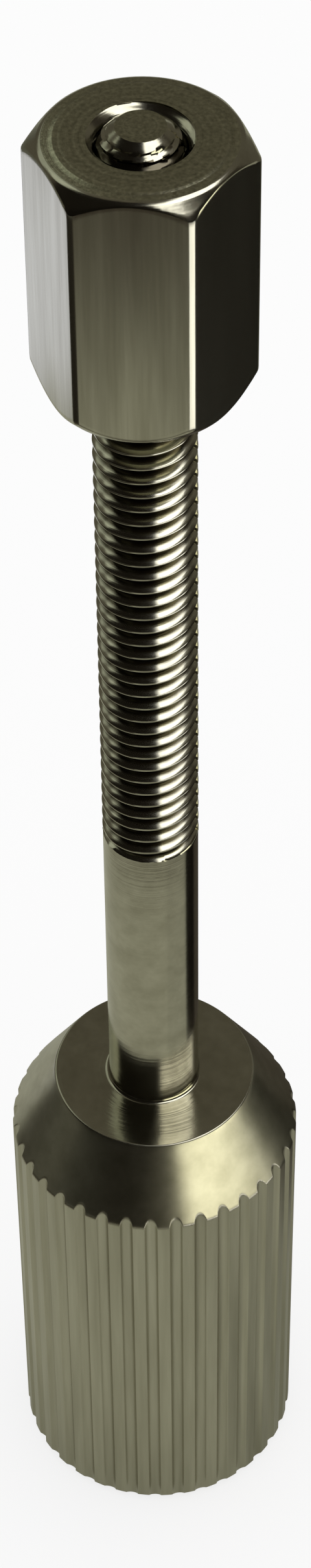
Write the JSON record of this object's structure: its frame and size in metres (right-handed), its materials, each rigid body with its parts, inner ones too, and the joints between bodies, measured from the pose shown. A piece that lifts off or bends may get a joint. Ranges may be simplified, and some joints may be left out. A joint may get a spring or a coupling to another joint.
{
  "type": "thumb screw",
  "caption": "Metal thumb screw with a tall straight-knurled head, a plain shank and a fine thread, carrying a long hex nut at its end.",
  "frame": {"origin": "centre of the end of the knurled head that the screw stands on", "axes": "+Z along the screw's axis, from the head to the tip of the thread; X and Y are across the axis, with a corner of the hex nut on +X"},
  "size_m": [0.0126, 0.0126, 0.0764],
  "materials": {
    "screw_steel": "turned and plated, satin",
    "nut_steel": "drawn hex bar, turned ends, satin"
  },
  "bodies": {
    "screw": {"thumb_screw": "screw_steel"},
    "nut": {"hex_nut": "nut_steel"}
  },
  "joints": [
    {"name": "nut_travel", "type": "slide", "parent": "screw", "child": "nut", "axis": [0, 0, 1], "range_m": [-0.0238, 0.0084]}
  ]
}
